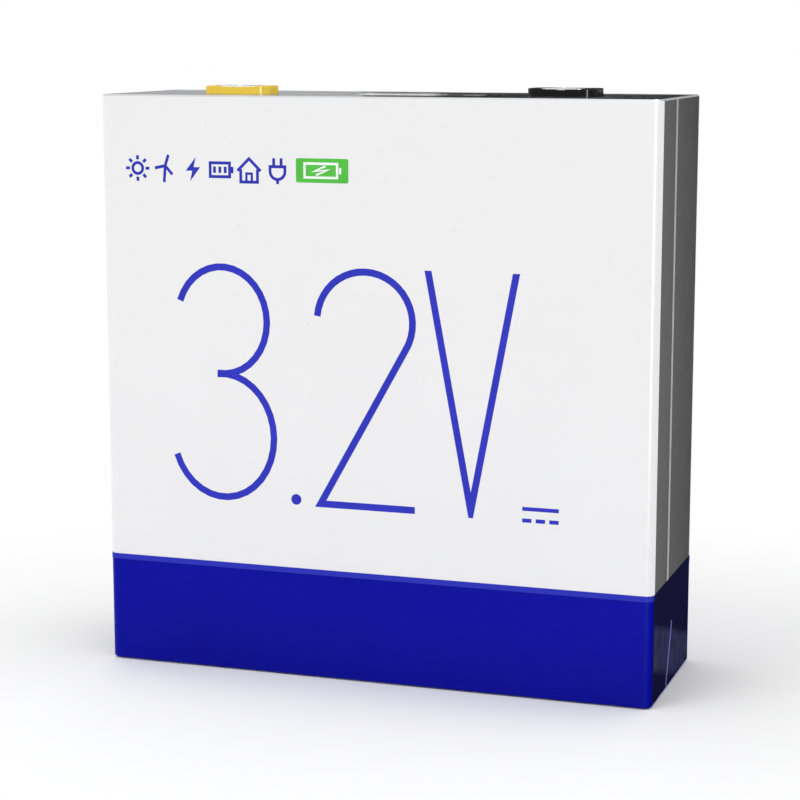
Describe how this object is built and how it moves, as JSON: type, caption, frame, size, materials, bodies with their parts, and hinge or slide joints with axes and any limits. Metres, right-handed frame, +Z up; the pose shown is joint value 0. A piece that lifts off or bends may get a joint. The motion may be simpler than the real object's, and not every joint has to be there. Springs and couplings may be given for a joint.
{
  "type": "prismatic battery cell",
  "caption": "Flat upright prismatic storage cell in printed film, with two weld-pad terminals in a yellow and a black collar and a burst vent in its lid.",
  "frame": {"origin": "middle of the underside, where the cell stands", "axes": "+Z up towards the terminals, -Y out of the printed front face, +X along the width towards the negative terminal"},
  "size_m": [0.22, 0.072, 0.227],
  "materials": {
    "can_aluminium": "drawn, satin",
    "lid_aluminium": "rolled, satin",
    "terminal_aluminium": "milled",
    "post_aluminium": "turned",
    "post_copper": "turned copper",
    "vent_foil": "coined foil",
    "clear_film": "clear film",
    "guard_plastic": "moulded",
    "plug_rubber": "moulded",
    "cap_aluminium": "welded disc",
    "positive_plastic": "moulded",
    "negative_plastic": "moulded",
    "connector_aluminium": "stamped",
    "connector_copper": "stamped copper",
    "tab_aluminium": "foil stack",
    "tab_copper": "copper foil stack",
    "tape": "adhesive tape",
    "seam_tape": "adhesive tape",
    "winding": "wound separator film",
    "bag_film": "clear blue film",
    "tray_plastic": "moulded",
    "bottom_film": "laminated sheet",
    "upper_film": "printed film",
    "lower_film": "printed film",
    "flap_film": "printed film",
    "lower_flap_film": "printed film"
  },
  "bodies": {
    "root": {"bottom_sheet": "bottom_film", "bottom_tray": "tray_plastic", "can": "can_aluminium", "fill_port_cap": "cap_aluminium", "fill_port_plug": "plug_rubber", "front_roll": "winding", "front_roll_tape": "tape", "front_upper_film": "upper_film", "insulating_bag": "bag_film", "left_foot_tuck": "lower_flap_film", "left_front_flap": "flap_film", "left_lower_flap": "lower_flap_film", "left_rear_flap": "flap_film", "left_seam_tape": "seam_tape", "lid_plate": "lid_aluminium", "lower_film": "lower_film", "negative_collar": "negative_plastic", "negative_connector": "connector_copper", "negative_front_tab": "tab_copper", "negative_lower_insulator": "guard_plastic", "negative_post": "post_copper", "negative_rear_tab": "tab_copper", "negative_seal_ring": "plug_rubber", "negative_tab_tape": "tape", "negative_terminal_pad": "terminal_aluminium", "positive_collar": "positive_plastic", "positive_connector": "connector_aluminium", "positive_front_tab": "tab_aluminium", "positive_lower_insulator": "guard_plastic", "positive_post": "post_aluminium", "positive_rear_tab": "tab_aluminium", "positive_seal_ring": "plug_rubber", "positive_tab_tape": "tape", "positive_terminal_pad": "terminal_aluminium", "rear_roll": "winding", "rear_roll_tape": "tape", "rear_upper_film": "upper_film", "right_foot_tuck": "lower_flap_film", "right_front_flap": "flap_film", "right_lower_flap": "lower_flap_film", "right_rear_flap": "flap_film", "right_seam_tape": "seam_tape", "vent_cover_film": "clear_film", "vent_disc": "vent_foil", "vent_guard": "guard_plastic"}
  },
  "joints": []
}
